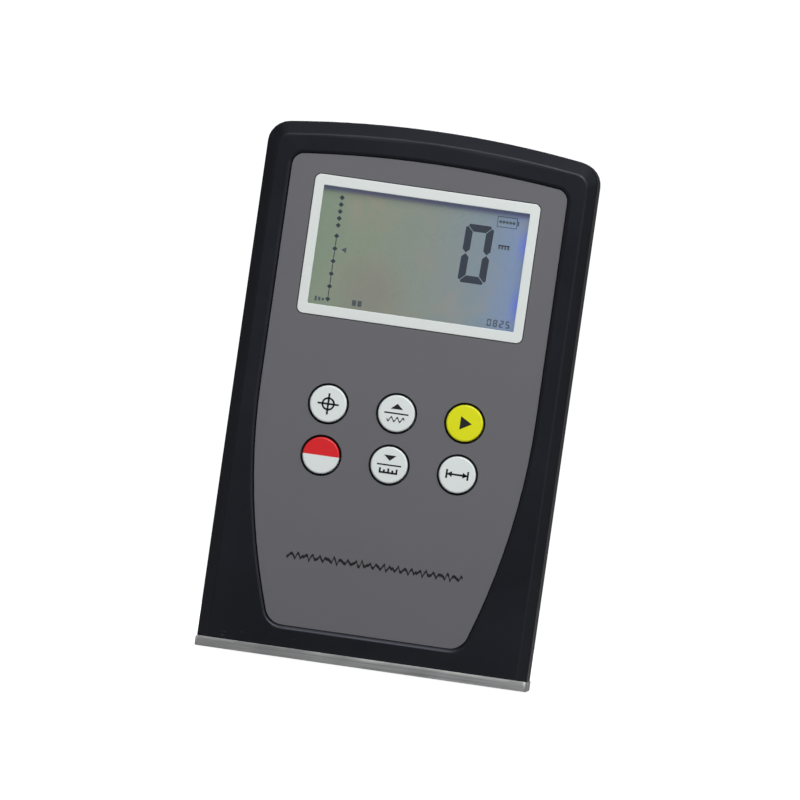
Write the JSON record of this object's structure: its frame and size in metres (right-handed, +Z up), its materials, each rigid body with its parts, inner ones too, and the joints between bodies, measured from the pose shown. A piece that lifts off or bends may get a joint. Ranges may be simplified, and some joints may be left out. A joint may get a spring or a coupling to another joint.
{
  "type": "surface roughness tester",
  "caption": "Hand-held surface roughness tester: black crowned case on a metal base plate, with a display, round keys, and a motor that draws a stylus pickup along a slot underneath.",
  "frame": {"origin": "middle of the base plate's underside", "axes": "+Z up along the height, the display faces -Y, +X to the right of someone who reads the display"},
  "size_m": [0.0754, 0.026, 0.122],
  "materials": {
    "case_black": "fine satin mould texture",
    "base_metal": "brushed along the length",
    "panel_grey": "matte print film",
    "frame_white": "glossy",
    "lens_clear": "clear and glossy",
    "lcd": "reflective liquid crystal",
    "light_guide": "milky",
    "key_white": "semi-gloss",
    "key_yellow": "semi-gloss",
    "key_red_white": "semi-gloss, upper half red and lower half white",
    "switch_black": "matte",
    "board_green": "solder mask",
    "chip_black": "matte",
    "header_ivory": "matte",
    "cell_jacket": "glossy printed jacket",
    "nickel": "nickel plated",
    "screw_steel": "zinc plated",
    "bright_steel": "ground",
    "drive_alloy": "milled",
    "brass": "turned",
    "skid_steel": "polished",
    "diamond": "clear"
  },
  "bodies": {
    "case": {"front_cover": "case_black", "rear_cover": "case_black", "base_plate": "base_metal", "front_panel": "panel_grey", "display_frame": "frame_white", "display_lens": "lens_clear", "lcd_glass": "lcd", "backlight": "light_guide", "key_switches": "switch_black", "circuit_board": "board_green", "board_chips": "chip_black", "wire_header": "header_ivory", "battery_1": "cell_jacket", "battery_2": "cell_jacket", "battery_3": "cell_jacket", "battery_4": "cell_jacket", "battery_springs": "nickel", "battery_contacts": "nickel", "case_screws": "screw_steel", "base_screws": "screw_steel", "board_screws": "screw_steel", "bracket_screws": "screw_steel", "gearbox_screws": "screw_steel", "drive_bracket": "drive_alloy", "motor": "bright_steel", "gearbox": "brass", "screw_bush": "brass", "lower_guide_rod": "bright_steel", "upper_guide_rod": "bright_steel"},
    "battery_door": {"battery_door": "case_black"},
    "drive_screw": {"motor_shaft": "bright_steel", "shaft_coupling": "brass", "lead_screw": "bright_steel"},
    "carriage": {"carriage": "drive_alloy", "drive_nut": "brass", "pickup_pin": "bright_steel"},
    "pickup": {"pickup_body": "drive_alloy", "skid": "skid_steel", "stylus_pin": "bright_steel"},
    "stylus": {"stylus_arm": "bright_steel", "stylus_tip": "diamond"},
    "calibrate_button": {"calibrate_key": "key_white", "calibrate_plunger": "switch_black"},
    "up_button": {"up_key": "key_white", "up_plunger": "switch_black"},
    "start_button": {"start_key": "key_yellow", "start_plunger": "switch_black"},
    "power_button": {"power_key": "key_red_white", "power_plunger": "switch_black"},
    "down_button": {"down_key": "key_white", "down_plunger": "switch_black"},
    "cutoff_button": {"cutoff_key": "key_white", "cutoff_plunger": "switch_black"}
  },
  "joints": [
    {"name": "battery_door_slide", "type": "slide", "parent": "case", "child": "battery_door", "axis": [0, 0, 1], "range_m": [0, 0.082]},
    {"name": "drive_screw_spin", "type": "hinge", "parent": "case", "child": "drive_screw", "pos_m": [0, 0, 0.02165], "axis": [1, 0, 0], "range_deg": [0, 6301]},
    {"name": "carriage_slide", "type": "slide", "parent": "case", "child": "carriage", "axis": [1, 0, 0], "range_m": [0, 0.0175]},
    {"name": "pickup_float", "type": "hinge", "parent": "carriage", "child": "pickup", "pos_m": [0.0085, 0, 0.0073], "axis": [0, 1, 0], "range_deg": [-1.5, 2], "stiffness_Nm_per_rad": 0.06},
    {"name": "stylus_pivot", "type": "hinge", "parent": "pickup", "child": "stylus", "pos_m": [-0.0025, 0, 0.007], "axis": [0, 1, 0], "range_deg": [-2, 2], "stiffness_Nm_per_rad": 0.002},
    {"name": "calibrate_press", "type": "slide", "parent": "case", "child": "calibrate_button", "axis": [0, 1, 0], "range_m": [0, 0.0004], "stiffness_N_per_m": 1500, "springref_m": -0.0002},
    {"name": "up_press", "type": "slide", "parent": "case", "child": "up_button", "axis": [0, 1, 0], "range_m": [0, 0.0004], "stiffness_N_per_m": 1500, "springref_m": -0.0002},
    {"name": "start_press", "type": "slide", "parent": "case", "child": "start_button", "axis": [0, 1, 0], "range_m": [0, 0.0004], "stiffness_N_per_m": 1500, "springref_m": -0.0002},
    {"name": "power_press", "type": "slide", "parent": "case", "child": "power_button", "axis": [0, 1, 0], "range_m": [0, 0.0004], "stiffness_N_per_m": 1500, "springref_m": -0.0002},
    {"name": "down_press", "type": "slide", "parent": "case", "child": "down_button", "axis": [0, 1, 0], "range_m": [0, 0.0004], "stiffness_N_per_m": 1500, "springref_m": -0.0002},
    {"name": "cutoff_press", "type": "slide", "parent": "case", "child": "cutoff_button", "axis": [0, 1, 0], "range_m": [0, 0.0004], "stiffness_N_per_m": 1500, "springref_m": -0.0002}
  ],
  "couplings": [
    {"joint": "drive_screw_spin", "follows": "carriage_slide", "rad_per_m": 6283.2}
  ]
}
